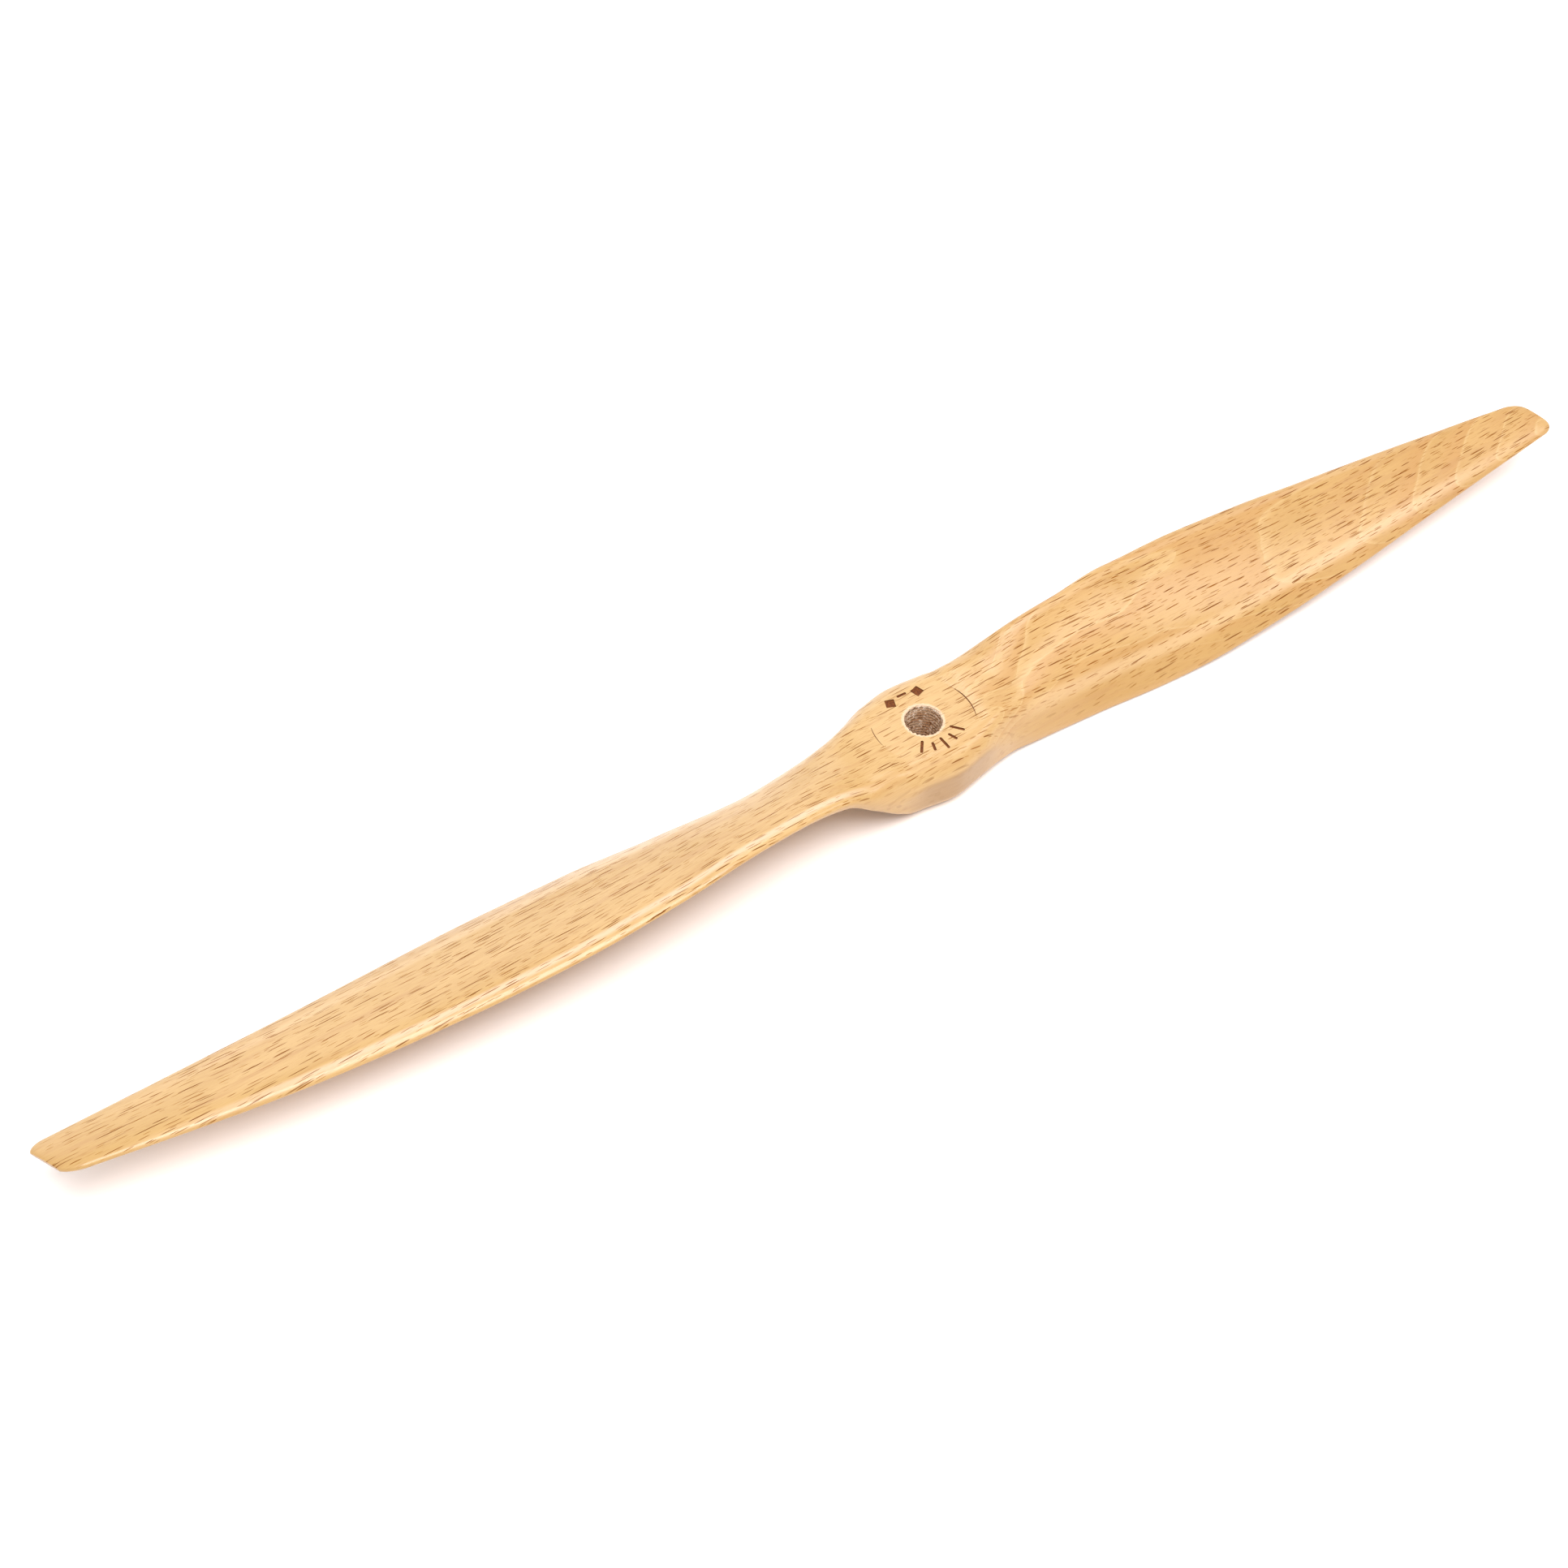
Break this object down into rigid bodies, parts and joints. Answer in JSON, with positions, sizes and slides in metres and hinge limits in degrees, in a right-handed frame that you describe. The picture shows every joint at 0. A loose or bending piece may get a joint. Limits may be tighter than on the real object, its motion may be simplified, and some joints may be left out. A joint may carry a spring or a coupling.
{
  "type": "wooden propeller",
  "caption": "Carved wooden propeller for an electric model aircraft: twisted tapering blades with slanted tips, and a flat-faced hub with a plain round shaft bore.",
  "frame": {"origin": "on the bore axis at the hub's flat rear face, which is the lowest face when the propeller lies on its back", "axes": "+Z along the bore axis towards the hub's front face, +X along the blades towards one tip, +Y towards the leading edge of the blade on +X"},
  "size_m": [0.381, 0.029, 0.018],
  "materials": {
    "beech": "pale beech with fine dark flecks along the grain under a thin satin lacquer; bore walls scorched brown and bare"
  },
  "bodies": {
    "root": {"propeller": "beech"}
  },
  "joints": []
}
